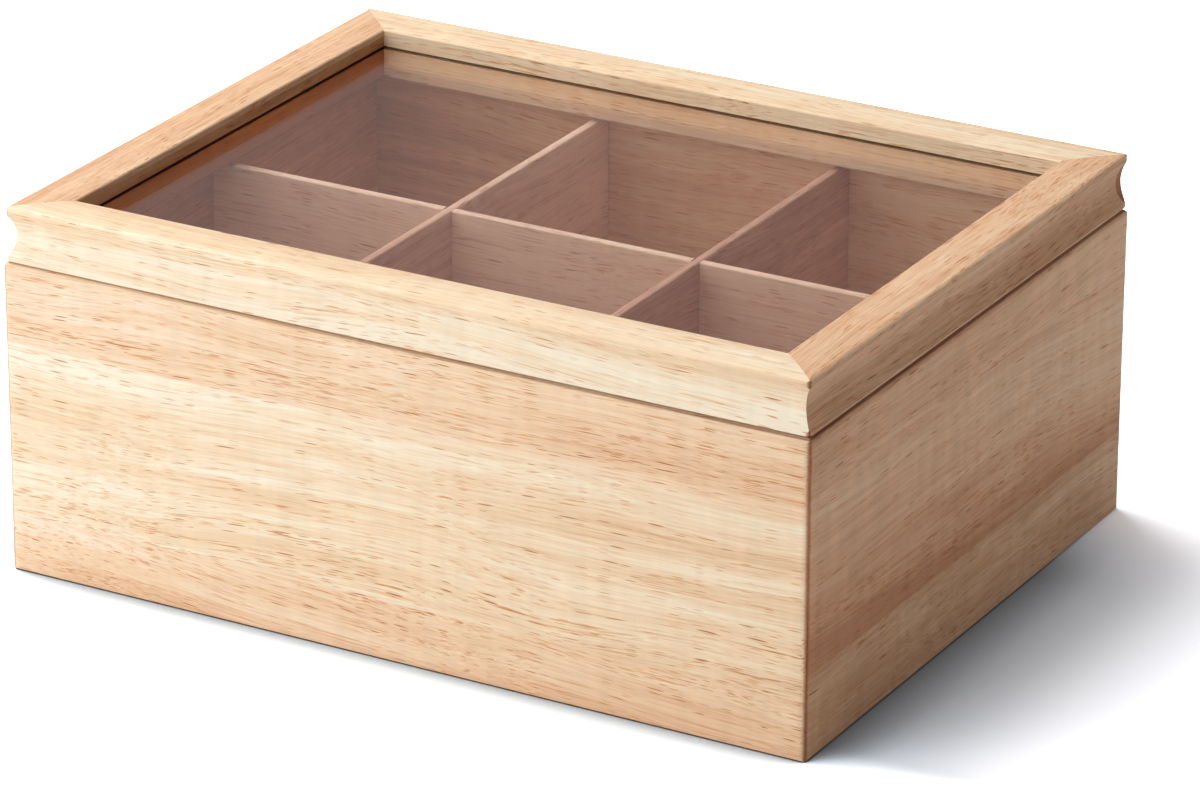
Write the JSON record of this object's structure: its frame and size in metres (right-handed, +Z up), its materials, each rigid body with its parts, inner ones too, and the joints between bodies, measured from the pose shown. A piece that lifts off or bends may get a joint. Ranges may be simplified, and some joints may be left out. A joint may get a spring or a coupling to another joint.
{
  "type": "tea bag organizer box",
  "caption": "Wooden box with a hinged, coved frame lid round a clear pane, and crossed dividers that make compartments for tea bags.",
  "frame": {"origin": "middle of the footprint, on the surface the box stands on", "axes": "+X to the right along the long side, +Y to the back where the hinges are, +Z up"},
  "size_m": [0.28, 0.215, 0.121],
  "materials": {
    "rubberwood": "clear satin lacquer over sanded solid timber",
    "divider_wood": "thin solid timber, lightly lacquered",
    "plywood": "thin plywood, unpolished",
    "pane_glass": "clear, polished",
    "brass": "pressed sheet, plain polished",
    "screw_brass": "turned, plain"
  },
  "bodies": {
    "box": {"front_panel": "rubberwood", "back_panel": "rubberwood", "left_panel": "rubberwood", "right_panel": "rubberwood", "bottom_panel": "plywood", "long_divider": "divider_wood", "cross_divider_left": "divider_wood", "cross_divider_right": "divider_wood", "left_hinge_body_leaf": "brass", "left_hinge_pin": "brass", "right_hinge_body_leaf": "brass", "right_hinge_pin": "brass", "body_leaf_screws": "screw_brass"},
    "lid": {"lid_front_rail": "rubberwood", "lid_back_rail": "rubberwood", "lid_left_rail": "rubberwood", "lid_right_rail": "rubberwood", "lid_pane": "pane_glass", "left_hinge_lid_leaf": "brass", "right_hinge_lid_leaf": "brass", "lid_leaf_screws": "screw_brass"}
  },
  "joints": [
    {"name": "lid_hinge", "type": "hinge", "parent": "box", "child": "lid", "pos_m": [0, 0.1055, 0.1027], "axis": [-1, 0, 0], "range_deg": [0, 95]}
  ]
}
